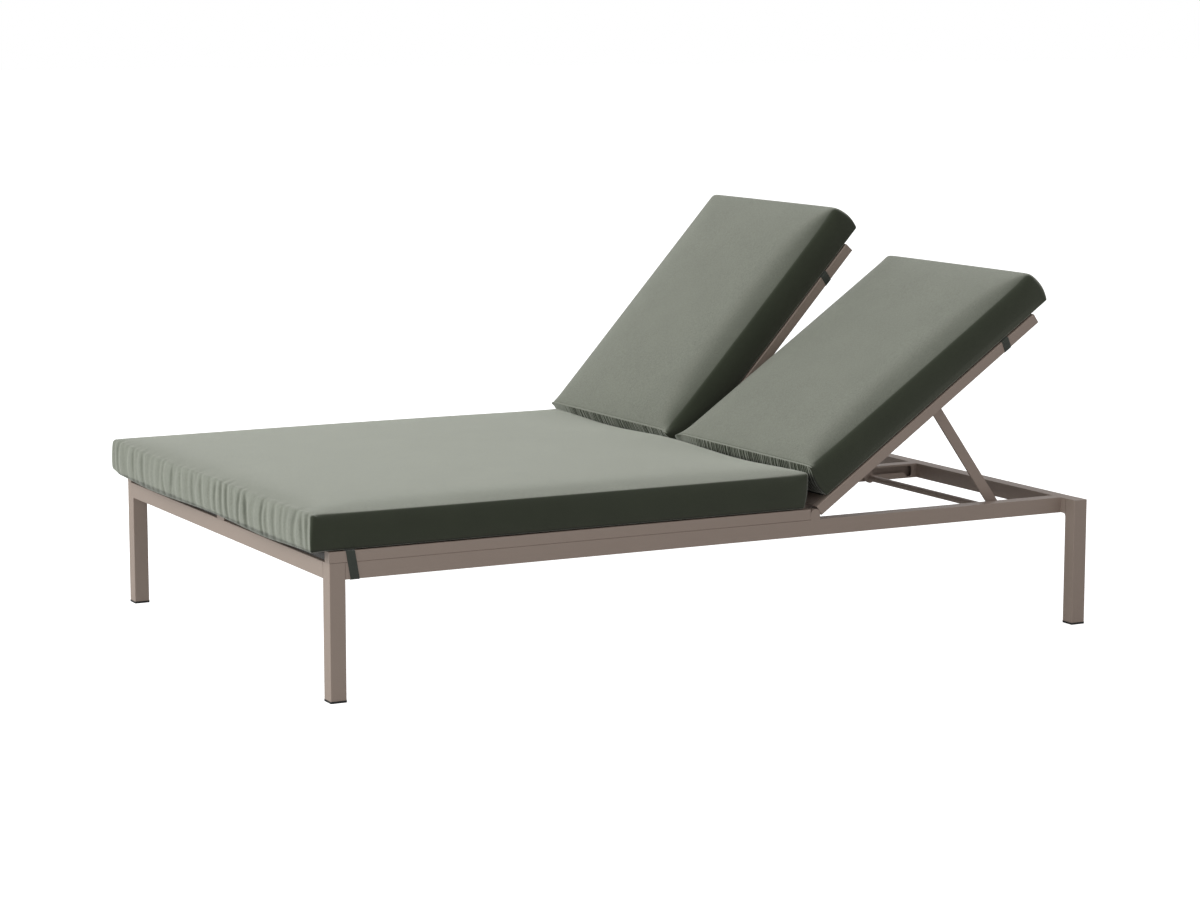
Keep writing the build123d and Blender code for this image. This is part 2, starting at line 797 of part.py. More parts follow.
def prop_pieces(name, side, back_angle, prop_angle):
    """Pieces that turn with one prop."""
    x, z = prop_pivot(back_angle)
    inner_range, outer_range = strut_ranges()
    shapes = {
        "inner_strut": strut(inner_range),
        "outer_strut": strut(outer_range),
        "cross_bar": prop_bar(),
    }
    place = Pos(x, 0, z) * Rot(0, prop_angle, 0)
    return {f"{name}_prop_{part}": place * on_side(shape, side) for part, shape in shapes.items()}


def main():
    pieces = base_pieces()
    pieces.update(backrest_pieces("left", -1, left_back_angle, left_back_cushion_start))
    pieces.update(backrest_pieces("right", 1, right_back_angle, right_back_cushion_start))
    pieces.update(prop_pieces("left", -1, left_back_angle, left_prop_angle))
    pieces.update(prop_pieces("right", 1, right_back_angle, right_prop_angle))
    os.makedirs("parts", exist_ok=True)
    for name, shape in pieces.items():
        export_step(shape, f"parts/{name}.step")
    print("pieces", len(pieces))
    print("hinge", round(hinge_x, 3), round(hinge_z, 3))
    for name, back_angle, prop_angle in (("left", left_back_angle, left_prop_angle),
                                         ("right", right_back_angle, right_prop_angle)):
        print(name, "prop pivot", [round(v, 3) for v in prop_pivot(back_angle)],
              "bar", [round(v, 3) for v in bar_centre(back_angle, prop_angle)])


main()
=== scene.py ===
import json
import math
import random

import bmesh
import bpy
from mathutils import Matrix, Vector


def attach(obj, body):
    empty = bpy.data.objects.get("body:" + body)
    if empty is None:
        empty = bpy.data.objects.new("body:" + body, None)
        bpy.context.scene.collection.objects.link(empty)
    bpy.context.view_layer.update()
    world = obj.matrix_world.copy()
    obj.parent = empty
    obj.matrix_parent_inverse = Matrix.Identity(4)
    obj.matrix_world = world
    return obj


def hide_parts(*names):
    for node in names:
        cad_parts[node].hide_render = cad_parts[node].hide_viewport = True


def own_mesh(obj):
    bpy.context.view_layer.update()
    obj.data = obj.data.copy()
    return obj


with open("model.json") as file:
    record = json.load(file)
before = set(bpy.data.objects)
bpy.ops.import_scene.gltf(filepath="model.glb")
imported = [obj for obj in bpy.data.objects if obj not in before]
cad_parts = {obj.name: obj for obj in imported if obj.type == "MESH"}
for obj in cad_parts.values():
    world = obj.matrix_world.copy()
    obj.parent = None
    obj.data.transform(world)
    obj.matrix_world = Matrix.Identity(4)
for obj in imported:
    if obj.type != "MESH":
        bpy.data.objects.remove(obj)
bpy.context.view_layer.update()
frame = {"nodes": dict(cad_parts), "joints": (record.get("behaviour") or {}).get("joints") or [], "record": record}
print("frame loaded:", len(frame["nodes"]), "nodes")

# the backrests' angles at rest; both turn about the same hinge line
hinge = Vector(next(j["pos_m"] for j in frame["joints"] if j["name"] == "left_backrest_hinge"))
backAngles = {"left": math.radians(34.8), "right": math.radians(47.9)}
sideSign = {"left": -1, "right": 1}


def backrestPlace(side):
    return Matrix.Translation(hinge) @ Matrix.Rotation(-backAngles[side], 4, "Y")


# soft pieces are drawn for the right side, those of a backrest lying level from the hinge:
# gives the body that they ride on a side and the matrix that puts them there
def sidePlace(side, kind):
    flip = Matrix.Scale(sideSign[side], 4, (0, 1, 0))
    if kind == "seat":
        return "base", flip
    return side + "_backrest", backrestPlace(side) @ flip


def newMaterial(name, **sockets):
    material = bpy.data.materials.new(name)
    material.use_nodes = True
    shader = material.node_tree.nodes["Principled BSDF"]
    for socket, value in sockets.items():
        shader.inputs[socket.replace("_", " ")].default_value = value
    return material, material.node_tree, shader


def addNode(tree, kind, inputs=None, **settings):
    node = tree.nodes.new("ShaderNode" + kind)
    for key, value in settings.items():
        setattr(node, key, value)
    for socket, value in (inputs or {}).items():
        if isinstance(value, bpy.types.NodeSocket):
            tree.links.new(value, node.inputs[socket])
        else:
            node.inputs[socket].default_value = value
    return node


def mathNode(tree, operation, *values):
    return addNode(tree, "Math", dict(enumerate(values)), operation=operation).outputs[0]


def noise(tree, place, scale, detail, roughness=0.5):
    return addNode(tree, "TexNoise", {"Vector": place, "Scale": scale, "Detail": detail,
                                      "Roughness": roughness}).outputs[0]


def mapRange(tree, value, low, high, toLow=0.0, toHigh=1.0):
    return addNode(tree, "MapRange", {"Value": value, "From Min": low, "From Max": high,
                                      "To Min": toLow, "To Max": toHigh}).outputs[0]


def mixColours(tree, amount, low, high):
    node = addNode(tree, "Mix", data_type="RGBA")
    for socket, value in ((node.inputs[0], amount), (node.inputs[6], low), (node.inputs[7], high)):
        if isinstance(value, bpy.types.NodeSocket):
            tree.links.new(value, socket)
        else:
            socket.default_value = value
    return node.outputs[2]


def addBump(tree, shader, height, strength, distance, under=None):
    bump = addNode(tree, "Bump", {"Height": height, "Strength": strength, "Distance": distance})
    if under:
        tree.links.new(under, bump.inputs["Normal"])
    tree.links.new(bump.outputs[0], shader.inputs["Normal"])
    return bump.outputs[0]


# plain weave: height of the crossing threads from two coordinates in thread widths
def weaveHeight(tree, u, v):
    def threads(across, along, shift):
        phase = mathNode(tree, "MULTIPLY", across, math.pi)
        crown = mathNode(tree, "ABSOLUTE", mathNode(tree, "SINE", phase))
        row = mathNode(tree, "ADD", mathNode(tree, "FLOOR", across), along)
        turn = mathNode(tree, "MULTIPLY", mathNode(tree, "ADD", row, shift), math.pi)
        wave = mathNode(tree, "COSINE", turn)
        return mathNode(tree, "MULTIPLY", crown, mathNode(tree, "MULTIPLY_ADD", wave, 0.5, 0.5))
    return mathNode(tree, "MAXIMUM", threads(u, v, 0.0), threads(v, u, 1.0))


# noises: scale, detail, roughness; bumps: strength, distance; painted shades: heights at which
# they start and are full
fabricLook = {
    "thread": 0.0011,
    "deep": (0.018, 0.022, 0.012, 1),
    "lit": (0.041, 0.049, 0.028, 1),
    # painted sheen: the much lighter colours that faces seen at a slant take on
    "paintedSheenLow": (0.172, 0.178, 0.145, 1),
    "paintedSheenHigh": (0.236, 0.243, 0.199, 1),
    # painted shade: near black colour for the ends in the hinge gap and the lowest band
    "shaded": (0.006, 0.008, 0.005, 1),
    "sheenTint": (0.96, 0.97, 0.87, 1),
    "facing": 0.72,
    "mottle": (9.0, 3.0, 0.55),
    "slub": (420.0, 2.0),
    "sheenPatches": (240.0, 2.0, 0.7),
    "soft": (26.0, 2.0),
    "weaveShare": 0.55,
    "slubShare": 0.45,
    "mottleShare": 0.5,
    "sheenPatchRange": (0.36, 0.64),
    "grazeRange": (0.25, 0.55),
    "endFacing": (0.15, 0.5),
    "hingeShade": (0.415, 0.402),
    "lowestShade": (0.3385, 0.3345),
    "lowestAmount": 0.8,
    "softBump": (0.25, 0.0012),
    "weaveBump": (0.45, 0.0003),
}


# cushion cover: the weave runs along the cushion on every face, a painted sheen lightens faces seen
# at a slant, and painted shade darkens the ends at the hinge below the seat's top and the level cover's lowest
# band
def cushionFabric(name, tilt):
    look = fabricLook
    material, tree, shader = newMaterial(
        name, Roughness=0.62, Sheen_Weight=0.68, Sheen_Roughness=0.5,
        Sheen_Tint=look["sheenTint"], Specular_IOR_Level=0.1)
    coords = addNode(tree, "TexCoord")
    turned = addNode(tree, "VectorRotate", {"Vector": coords.outputs["Object"], "Angle": tilt},
                     rotation_type="Y_AXIS").outputs[0]
    facing = addNode(tree, "VectorRotate", {"Vector": coords.outputs["Normal"], "Angle": tilt},
                     rotation_type="Y_AXIS").outputs[0]
    place = addNode(tree, "SeparateXYZ", {0: turned}).outputs
    normal = addNode(tree, "SeparateXYZ", {0: facing}).outputs
    level, endFace = (mathNode(tree, "GREATER_THAN", mathNode(tree, "ABSOLUTE", normal[axis]),
                               look["facing"]) for axis in (2, 0))
    across = addNode(tree, "Mix", {0: endFace, 2: place[0], 3: place[1]}).outputs[0]
    upward = addNode(tree, "Mix", {0: level, 2: place[2], 3: place[1]}).outputs[0]
    u = mathNode(tree, "DIVIDE", across, look["thread"])
    v = mathNode(tree, "DIVIDE", upward, look["thread"])
    weave = weaveHeight(tree, u, v)
    mottle = noise(tree, turned, *look["mottle"])
    slub = noise(tree, turned, *look["slub"])
    tone = mathNode(tree, "ADD", mathNode(tree, "MULTIPLY", weave, look["weaveShare"]),
                    mathNode(tree, "MULTIPLY", slub, look["slubShare"]))
    uneven = mathNode(tree, "MULTIPLY", mathNode(tree, "SUBTRACT", mottle, 0.5),
                      look["mottleShare"])
    tone = mathNode(tree, "ADD", tone, uneven)
    cloth = mixColours(tree, tone, look["deep"], look["lit"])
    # painted sheen: the more slanting the view onto a face, the more its colour turns to the lighter sheen
    # colours, patchy by noise
    graze = addNode(tree, "LayerWeight", {"Blend": 0.5}).outputs["Facing"]
    sheenPatches = mathNode(tree, "ADD", noise(tree, turned, *look["sheenPatches"]),
                   mathNode(tree, "MULTIPLY", uneven, look["mottleShare"]))
    paintedSheen = mixColours(tree, mapRange(tree, sheenPatches, *look["sheenPatchRange"]), look["paintedSheenLow"], look["paintedSheenHigh"])
    colour = mixColours(tree, mapRange(tree, graze, *look["grazeRange"]), cloth, paintedSheen)
    # painted shade: end faces toward the hinge gap darken below the seat's top, and the level cover's lowest band
    # darkens too
    height = addNode(tree, "SeparateXYZ", {0: coords.outputs["Object"]}).outputs[2]
    toGap = -1 if tilt else 1
    ending = mapRange(tree, normal[0], *[toGap * share for share in look["endFacing"]])
    shade = mathNode(tree, "MULTIPLY", ending, mapRange(tree, height, *look["hingeShade"]))
    if not tilt:
        lowest = mathNode(tree, "MULTIPLY", mapRange(tree, height, *look["lowestShade"]),
                          look["lowestAmount"])
        shade = mathNode(tree, "MAXIMUM", shade, lowest)
    tree.links.new(mixColours(tree, shade, colour, look["shaded"]), shader.inputs["Base Color"])
    under = addBump(tree, shader, noise(tree, turned, *look["soft"]), *look["softBump"])
    addBump(tree, shader, weave, *look["weaveBump"], under)
    return material


paintLook = {
    "grain": (900.0, 2.0, 0.6), "grainShare": 0.6, "grainBump": (0.12, 0.00012),
    "cloud": (6.0, 3.0), "cloudShare": 0.4,
    "peel": (380.0, 1.0), "peelBump": (0.18, 0.0003),
    "dark": (0.335, 0.260, 0.218, 1), "light": (0.395, 0.309, 0.261, 1),
    "roughness": (0.46, 0.58),
}


def powderCoat():
    material, tree, shader = newMaterial(
        "taupePowderCoat", Roughness=0.52, Specular_IOR_Level=0.45)
    place = addNode(tree, "TexCoord").outputs["Object"]
    grain = noise(tree, place, *paintLook["grain"])
    cloud = noise(tree, place, *paintLook["cloud"])
    shade = mathNode(tree, "ADD", mathNode(tree, "MULTIPLY", grain, paintLook["grainShare"]),
                     mathNode(tree, "MULTIPLY", cloud, paintLook["cloudShare"]))
    tree.links.new(mixColours(tree, shade, paintLook["dark"], paintLook["light"]),
                   shader.inputs["Base Color"])
    tree.links.new(mapRange(tree, cloud, 0.0, 1.0, *paintLook["roughness"]),
                   shader.inputs["Roughness"])
    under = addBump(tree, shader, noise(tree, place, *paintLook["peel"]), *paintLook["peelBump"])
    addBump(tree, shader, grain, *paintLook["grainBump"], under)
    return material


# the coordinates on slings and straps: along the cloth, then across it
def clothCoords(tree):
    return addNode(tree, "SeparateXYZ",
                   {0: addNode(tree, "UVMap", uv_map="clothMap").outputs[0]}).outputs


slingLook = {
    "thread": 0.0019, "cloud": (14.0, 3.0), "lift": 0.5, "bump": (0.8, 0.0006),
    "dark": (0.012, 0.011, 0.010, 1), "light": (0.070, 0.060, 0.053, 1),
}


def meshSling():
    material, tree, shader = newMaterial("wovenSling", Roughness=0.5, Sheen_Weight=0.15)
    uv = clothCoords(tree)
    u, v = (mathNode(tree, "DIVIDE", uv[i], slingLook["thread"]) for i in (0, 1))
    weave = weaveHeight(tree, u, v)
    cloud = noise(tree, addNode(tree, "TexCoord").outputs["Object"], *slingLook["cloud"])
    tone = mathNode(tree, "MULTIPLY", weave, mathNode(tree, "ADD", cloud, slingLook["lift"]))
    tree.links.new(mixColours(tree, tone, slingLook["dark"], slingLook["light"]),
                   shader.inputs["Base Color"])
    addBump(tree, shader, weave, *slingLook["bump"])
    return material


# ribs: coordinate, pitch and share of the height
bandLook = {
    "ribs": ((0, 0.0016, 0.7), (1, 0.0011, 0.3)), "fuzz": (700.0, 2.0), "lift": 0.4,
    "bump": (0.7, 0.0004),
    "dark": (0.009, 0.012, 0.008, 1), "light": (0.038, 0.047, 0.034, 1),
}


def elasticBand():
    material, tree, shader = newMaterial(
        "elasticWebbing", Roughness=0.72, Sheen_Weight=0.35, Sheen_Roughness=0.5)
    uv = clothCoords(tree)
    height = 0.0
    for axis, pitch, share in bandLook["ribs"]:
        wave = mathNode(tree, "SINE", mathNode(tree, "MULTIPLY", uv[axis], math.pi / pitch))
        crown = mathNode(tree, "MULTIPLY", mathNode(tree, "ABSOLUTE", wave), share)
        height = mathNode(tree, "ADD", crown, height)
    fuzz = noise(tree, addNode(tree, "TexCoord").outputs["Object"], *bandLook["fuzz"])
    tone = mathNode(tree, "MULTIPLY", height, mathNode(tree, "ADD", fuzz, bandLook["lift"]))
    tree.links.new(mixColours(tree, tone, bandLook["dark"], bandLook["light"]),
                   shader.inputs["Base Color"])
    addBump(tree, shader, height, *bandLook["bump"])
    return material


mouldedGrain = {"grain": (800.0, 3.0), "scuff": (60.0, 4.0, 0.7), "bumpDistance": 0.0002}
mouldedLooks = {
    "taupe_plastic": {"name": "taupePlastic", "roughness": 0.5, "bump": 0.2,
                      "dark": (0.300, 0.233, 0.196, 1), "light": (0.390, 0.305, 0.257, 1)},
    "black_plastic": {"name": "blackPlastic", "roughness": 0.6, "bump": 0.3,
                      "dark": (0.004, 0.004, 0.004, 1), "light": (0.014, 0.014, 0.014, 1)},
    "buffer_rubber": {"name": "bufferRubber", "roughness": 0.6, "bump": 0.25,
                      "dark": (0.045, 0.036, 0.031, 1), "light": (0.120, 0.100, 0.088, 1)},
}


def mouldedMaterial(look):
    material, tree, shader = newMaterial(look["name"], Roughness=look["roughness"])
    place = addNode(tree, "TexCoord").outputs["Object"]
    grain = noise(tree, place, *mouldedGrain["grain"])
    scuff = noise(tree, place, *mouldedGrain["scuff"])
    tone = mathNode(tree, "MULTIPLY", grain, scuff)
    tree.links.new(mixColours(tree, tone, look["dark"], look["light"]), shader.inputs["Base Color"])
    addBump(tree, shader, grain, look["bump"], mouldedGrain["bumpDistance"])
    return material


steelLook = {
    "rings": {"Scale": 900.0, "Distortion": 1.5, "Detail": 2.0}, "bump": (0.15, 0.00005),
    "dark": (0.50, 0.49, 0.47, 1), "light": (0.66, 0.65, 0.63, 1),
}


def turnedSteel():
    material, tree, shader = newMaterial("turnedSteel", Metallic=1.0, Roughness=0.34)
    place = addNode(tree, "TexCoord").outputs["Object"]
    rings = addNode(tree, "TexWave", {"Vector": place, **steelLook["rings"]},
                    wave_type="RINGS").outputs[1]
    tree.links.new(mixColours(tree, rings, steelLook["dark"], steelLook["light"]),
                   shader.inputs["Base Color"])
    addBump(tree, shader, rings, *steelLook["bump"])
    return material


finishes = {
    "frame_paint": powderCoat(),
    **{slot: mouldedMaterial(look) for slot, look in mouldedLooks.items()},
    "steel_fastener": turnedSteel(),
    "sling_fabric": meshSling(),
    "strap_elastic": elasticBand(),
    "cushion_fabric": cushionFabric("sageFabricLevel", 0.0),
}
tiltedFabric = {side: cushionFabric("sageFabric" + side.title(), angle)
                for side, angle in backAngles.items()}

for part in frame["record"]["subparts"]:
    node = frame["nodes"][part["node"]]
    node.data.materials.clear()
    node.data.materials.append(finishes[part["material_slot"]])
print("materials made:", len(finishes) + len(tiltedFabric))


def makeObject(bm, name, material, smooth=True):
    mesh = bpy.data.meshes.new(name)
    bm.to_mesh(mesh)
    bm.free()
    for polygon in mesh.polygons:
        polygon.use_smooth = smooth
    mesh.materials.append(material)
    obj = bpy.data.objects.new(name, mesh)
    bpy.context.scene.collection.objects.link(obj)
    return obj


# where a side is cut: the given steps in from both its ends, even cells between them
def cutPlaces(low, high, cells, lowSteps, highSteps):
    left, right = [low], [high]
    for step in lowSteps:
        left.append(left[-1] + step)
    for step in highSteps:
        right.append(right[-1] - step)
    middle = [left[-1] + (right[-1] - left[-1]) * i / cells for i in range(1, cells)]
    return left + middle + right[::-1]


def cutBlock(s):
    places = [cutPlaces(s["low"][i], s["high"][i], *s["cuts"][i]) for i in range(3)]
    bm = bmesh.new()
    bmesh.ops.create_cube(bm, size=1.0)
    for axis in range(3):
        along = [e for e in bm.edges if abs((e.verts[1].co - e.verts[0].co)[axis]) > 0.5]
        bmesh.ops.subdivide_edges(bm, edges=along, cuts=len(places[axis]) - 2)
    for vert in bm.verts:
        cells = [round((vert.co[i] + 0.5) * (len(places[i]) - 1)) for i in range(3)]
        vert.co = Vector([places[i][cells[i]] for i in range(3)])
    return bm


def smoothStep(value, low, high):
    t = min(1.0, max(0.0, (value - low) / (high - low)))
    return t * t * (3 - 2 * t)


seatCushion = {
    "low": Vector((-0.99875, -0.639, 0.3317)),
    "high": Vector((0.2425, 0.639, 0.4157)),
    "cuts": ((64, (0.004, 0.004, 0.005, 0.008), (0.003, 0.004, 0.006)),
             (64, (0.004, 0.004, 0.005), (0.004, 0.004, 0.005)),
             (9, (0.003, 0.004), (0.004, 0.004))),
    "sideRound": (0.019, 0.012),
    "lowEndRound": 0.011,
    "highEndRound": 0.005,
    "bottomRound": 0.005,
    "crown": 0.007,
    "bulge": 0.002,
    "endBulge": 0.002,
    "undercut": 0.011,
    "seamHold": 0.014,
    "topCap": 0.008,
    "sideCap": 0.003,
}
backCushion = {
    "low": Vector((0.051, 0.011, 0.0142)),
    "high": Vector((0.800, 0.638, 0.0990)),
    "cuts": ((44, (0.0015, 0.0015, 0.0015, 0.0015, 0.002, 0.003, 0.006), (0.004, 0.004, 0.006)),
             (38, (0.004, 0.004, 0.005), (0.004, 0.004, 0.005)),
             (9, (0.003, 0.004), (0.004, 0.004))),
    "lowEndRound": 0.002,
    "highEndRound": 0.014,
    "bottomRound": 0.004,
    "crown": 0.005,
    "bulge": 0.002,
    "endBulge": 0.011,
    "undercut": 0.0,
    "seamHold": 0.014,
    "topCap": 0.008,
    "sideCap": 0.004,
}
# where each backrest's cushion starts, and how round its inner and outer sides are
backDetails = {"left": {"start": 0.051, "sideRound": (0.026, 0.026)},
               "right": {"start": 0.064, "sideRound": (0.026, 0.012)}}
# how rounding, dome, swell and undercut run out on every cover
coverForm = {
    "endBlend": 0.03, "crownFrom": 0.5, "cornerLoss": 0.25, "swellFrom": 0.9,
    "undercutCurve": 1.6, "undercutReach": 0.12,
}


# how firmly the seams hold each point while the cover swells
def seamShares(bm, s):
    shares = []
    for vert in bm.verts:
        gaps = sorted(min(vert.co[i] - s["low"][i], s["high"][i] - vert.co[i]) for i in range(3))
        shares.append(1 - smoothStep(gaps[1], 0.0, s["seamHold"]))
    return shares


# rounds the block's edges: tight below, wider above, each side and end by its own amount
def roundEdges(bm, s):
    low, high = s["low"], s["high"]
    for vert in bm.verts:
        p = vert.co.copy()
        upper = smoothStep((p.z - low.z) / (high.z - low.z), 0.0, 1.0)
        atLow = p.x < (low.x + high.x) / 2
        sideRound = s["sideRound"][0 if p.y < (low.y + high.y) / 2 else 1]
        side = s["bottomRound"] + (sideRound - s["bottomRound"]) * upper
        wanted = s["lowEndRound"] if atLow else s["highEndRound"]
        end = min(s["bottomRound"], wanted) + (wanted - min(s["bottomRound"], wanted)) * upper
        nearEnd = 1 - smoothStep(min(p.x - low.x, high.x - p.x), 0.0, coverForm["endBlend"])
        lift = s["bottomRound"] if p.z < (low.z + high.z) / 2 else side + (wanted - side) * nearEnd
        core = Vector((min(max(p.x, low.x + end), high.x - end),
                       min(max(p.y, low.y + side), high.y - side),
                       min(max(p.z, low.z + lift), high.z - lift)))
        radii = Vector((end, side, lift))
        away = Vector([(p[i] - core[i]) / radii[i] for i in range(3)])
        if away.length > 1e-6:
            away.normalize()
            vert.co = core + Vector([away[i] * radii[i] for i in range(3)])


# domed top, full sides and a head end that slopes in below
def crownBlock(bm, s):
    form = coverForm
    low, high = s["low"], s["high"]
    for vert in bm.verts:
        p = vert.co
        u = 2 * (p.x - low.x) / (high.x - low.x) - 1
        v = 2 * (p.y - low.y) / (high.y - low.y) - 1
        rise = min(1.0, max(0.0, (p.z - low.z) / (high.z - low.z)))
        dome = (1 - abs(u) ** 3) * (1 - abs(v) ** 3)
        p.z += s["crown"] * dome * smoothStep(rise, form["crownFrom"], 1.0)
        full = math.sin(math.pi * rise) * (1 - form["cornerLoss"] * abs(u * v) ** 4)
        swell = s["endBulge"] if u > 0 else s["bulge"]
        p.x += swell * full * math.copysign(smoothStep(abs(u), form["swellFrom"], 1.0), u)
        p.y += s["bulge"] * full * math.copysign(smoothStep(abs(v), form["swellFrom"], 1.0), v)
        slope = s["undercut"] * (1 - rise) ** form["undercutCurve"]
        p.x -= slope * smoothStep(p.x, high.x - form["undercutReach"], high.x)


coverCloth = {"quality": 4, "pressure": 4.0, "bending": 0.8, "steps": 20}


# inflates the covers with Cloth: the seams hold, the panels swell between them
def swellCovers(pieces):
    starts = []
    for obj, s in pieces:
        starts.append([v.co.copy() for v in obj.data.vertices])
        cloth = obj.modifiers.new("cover", "CLOTH")
        cloth.settings.quality = coverCloth["quality"]
        cloth.settings.use_pressure = True
        cloth.settings.uniform_pressure_force = coverCloth["pressure"]
        cloth.settings.effector_weights.gravity = 0.0
        cloth.settings.bending_stiffness = coverCloth["bending"]
        cloth.settings.vertex_group_mass = "seams"
        cloth.point_cache.frame_end = coverCloth["steps"]
    for step in range(1, coverCloth["steps"] + 1):
        bpy.context.scene.frame_set(step)
    graph = bpy.context.evaluated_depsgraph_get()
    for (obj, s), start in zip(pieces, starts):
        swollen = [v.co.copy() for v in obj.evaluated_get(graph).data.vertices]
        caps = (s["sideCap"], s["sideCap"], s["topCap"])
        for vert, was, now in zip(obj.data.vertices, start, swollen):
            move = [cap * math.tanh((now[i] - was[i]) / cap) for i, cap in enumerate(caps)]
            vert.co = was + Vector(move)
            vert.co.z = max(vert.co.z, s["low"].z)
        obj.modifiers.clear()
    bpy.context.scene.frame_set(1)


# one level of subdivision, applied
def refineCover(obj):
    obj.vertex_groups.clear()
    fine = obj.modifiers.new("fine", "SUBSURF")
    fine.levels = fine.render_levels = 1
    graph = bpy.context.evaluated_depsgraph_get()
    mesh = bpy.data.meshes.new_from_object(obj.evaluated_get(graph))
    obj.modifiers.clear()
    old = obj.data
    obj.data = mesh
    bpy.data.meshes.remove(old)
    mesh.name = obj.name


# cuts the edges that run across a cushion finer, up to some way in from its low end
def cutAcross(bm, limit, shortest, cuts):
    rungs = []
    for edge in bm.edges:
        first, second = (v.co for v in edge.verts)
        if first.x < limit and second.x < limit and abs((first - second).y) > shortest:
            rungs.append(edge)
    bmesh.ops.subdivide_edges(bm, edges=rungs, cuts=cuts, use_grid_fill=True)
    bm.normal_update()


# uneven furrows side by side, each with its own place, width, depth, lean and reach
def makeFurrows(s, low, high):
    chance = random.Random(s["seed"])
    count = round((high - low) / s["pitch"])
    furrows = []
    for i in range(count):
        furrows.append({
            "y": low + (i + 0.5 + chance.uniform(-1, 1) * s["jitter"]) * (high - low) / count,
            "width": chance.uniform(*s["width"]),
            "depth": chance.uniform(*s["depth"]),
            "lean": chance.uniform(-1, 1) * s["lean"],
            "bend": chance.uniform(-1, 1) * s["lean"] / 2,
            "reach": chance.uniform(*s["reach"]),
        })
    return furrows


# a furrow counts up to so many widths from its middle
furrowSpan = 2.6


# depth of the furrows at a place: height up the end face, then on along the top
def furrowDepth(s, furrows, y, climb, height):
    share = climb / height
    total = 0.0
    for f in furrows:
        bend = f["bend"] * math.sin(math.pi * min(1.0, share))
        offset = y - f["y"] - f["lean"] * (share - 0.5) - bend
        if abs(offset) < furrowSpan * f["width"]:
            fade = 1 - smoothStep(climb, s["fadeFrom"] * height, height + f["reach"])
            total += f["depth"] * fade * math.exp(-(offset / f["width"]) ** 2)
    return total


# pleats: their place and form, then where they count
footPleats = {
    "seed": 11, "jitter": 0.3, "pitch": 0.036, "width": (0.0080, 0.0130),
    "depth": (0.0016, 0.0036), "lean": 0.014, "reach": (0.008, 0.030), "fadeFrom": 0.72,
    "region": 0.045, "shortest": 0.004, "cuts": 2, "fill": 0.0008, "above": 0.002,
    "topStart": 0.008, "root": (0.0, 0.012), "facing": (0.2, 0.6),
}
# how the overhang sinks: less on the middle tube and at the corners, less above than below
footDroop = {
    "overhang": 0.046, "sink": 0.0098, "topLoss": 0.35,
    "onTube": 0.0077, "tubeAt": -0.04, "tubeSpread": 0.214,
    "cornerLift": 0.0080, "corners": (0.34, 0.62), "farLift": 0.0090, "farCorner": (0.58, 0.64),
}
hingeDip = {"depth": 0.0075, "halfWidth": 0.64, "from": 0.30, "to": 0.03}


# pleats down the foot face, run out over its top edge; then the overhang sinks between the
# tubes and the top dips on both sides of the middle at the hinge
def seatDetails(obj, s):
    bm = bmesh.new()
    bm.from_mesh(obj.data)
    pleats, droop = footPleats, footDroop
    low, high = s["low"], s["high"]
    limit = low.x + pleats["region"]
    cutAcross(bm, limit, pleats["shortest"], pleats["cuts"])
    height = high.z - low.z
    furrows = makeFurrows(pleats, low.y, high.y)
    for vert in bm.verts:
        p = vert.co
        if p.x < limit and p.z > low.z + pleats["above"]:
            rise = min(1.0, max(0.0, (p.z - low.z) / height))
            climb = height * rise + max(0.0, p.x - low.x - pleats["topStart"])
            share = smoothStep(climb, *pleats["root"])
            share *= smoothStep(abs(vert.normal.x) + vert.normal.z, *pleats["facing"])
            sink = furrowDepth(pleats, furrows, p.y, climb, height)
            sink -= pleats["fill"] * (climb < height)
            p -= vert.normal * sink * share
    for vert in bm.verts:
        p = vert.co
        rise = min(1.0, max(0.0, (p.z - low.z) / height))
        hang = min(1.0, max(0.0, (low.x + droop["overhang"] - p.x) / droop["overhang"]))
        fromTube = (p.y - droop["tubeAt"]) / droop["tubeSpread"]
        sink = droop["sink"] - droop["onTube"] * math.exp(-fromTube ** 2)
        sink -= droop["cornerLift"] * smoothStep(abs(p.y), *droop["corners"])
        sink -= droop["farLift"] * smoothStep(p.y, *droop["farCorner"]) * (1 - rise) ** 2
        p.z -= sink * hang ** 2 * (1 - droop["topLoss"] * rise)
        dip = math.sin(math.pi * min(1.0, abs(p.y) / hingeDip["halfWidth"])) ** 2
        toHinge = smoothStep(p.x, high.x - hingeDip["from"], high.x - hingeDip["to"])
        p.z -= hingeDip["depth"] * dip * rise * toHinge
    bm.to_mesh(obj.data)
    bm.free()


# ridge and groove of the top's seam: height, how far in, half width
endGathers = {
    "seed": 5, "jitter": 0.22, "pitch": 0.0080, "width": (0.0015, 0.0023),
    "depth": (0.0013, 0.0028), "lean": 0.004, "reach": (0.0005, 0.0015), "fadeFrom": 1.0,
    "region": 0.010, "shortest": 0.0025, "cuts": 6, "fill": 0.0010, "above": 0.002,
    "root": (0.02, 0.2), "facing": (0.3, 0.8), "topFacing": (0.5, 0.9), "smooth": (0.04, 0.24),
    "bow": 0.0060, "ridge": (0.0011, 0.0020, 0.0018), "groove": (-0.0012, 0.0062, 0.0012),
}
# corners of the lower end, pulled out: how wide and which way, inner side first
endEars = ((0.018, Vector((-0.0070, -0.0030, 0.0008))), (0.007, Vector((-0.0030, 0.0022, 0.0016))))


